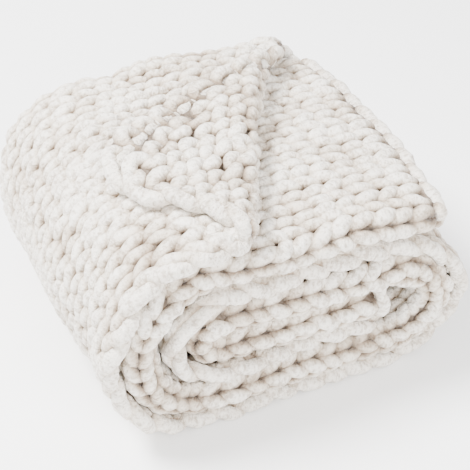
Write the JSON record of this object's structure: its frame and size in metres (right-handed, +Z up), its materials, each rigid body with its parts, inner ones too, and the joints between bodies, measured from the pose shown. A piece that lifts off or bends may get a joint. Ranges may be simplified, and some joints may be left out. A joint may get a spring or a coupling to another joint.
{
  "type": "chunky knit throw blanket",
  "caption": "Thick hand-knitted chenille throw in off-white, folded in thirds, rolled flat and laid down with its free corner turned back.",
  "frame": {"origin": "on the ground under the middle of the folded bundle", "axes": "+Z up; -Y the end that shows the roll; +X from the big outer turn of the roll towards the free end of the top layers"},
  "size_m": [0.5165, 0.4472, 0.3147],
  "materials": {
    "chenille_yarn": "matte velvety pile"
  },
  "bodies": {
    "root": {"blanket": "chenille_yarn"}
  },
  "joints": []
}
